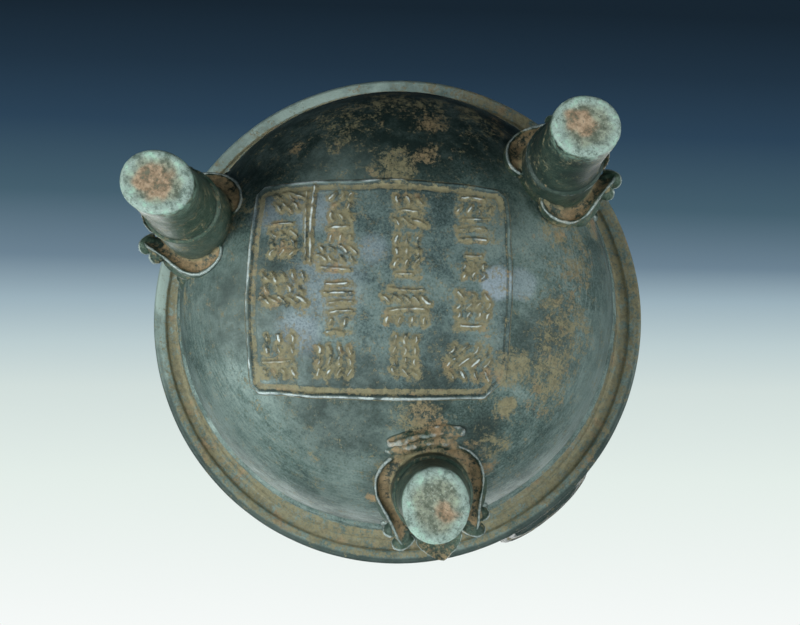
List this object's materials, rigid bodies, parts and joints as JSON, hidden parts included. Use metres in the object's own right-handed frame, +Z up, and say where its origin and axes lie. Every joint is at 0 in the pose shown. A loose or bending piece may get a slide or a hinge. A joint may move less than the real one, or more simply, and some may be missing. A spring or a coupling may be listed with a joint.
{
  "type": "bronze ding vessel",
  "caption": "Round bronze tripod vessel with a deep bowl, flat everted rim, upright loop handles and legs issuing from lion masks.",
  "frame": {"origin": "centre of the bounding box on the floor under the feet, which is the bowl's turning axis to within half a millimetre", "axes": "+Z up; +X through both loop handles; one leg points along -Y"},
  "size_m": [0.209, 0.2005, 0.177],
  "materials": {
    "bronze": "cast bronze with a dark grey-green patina, ochre soil in the hollows, worn pale edges and pale green corrosion on the feet"
  },
  "bodies": {
    "root": {"ding_vessel": "bronze"}
  },
  "joints": []
}
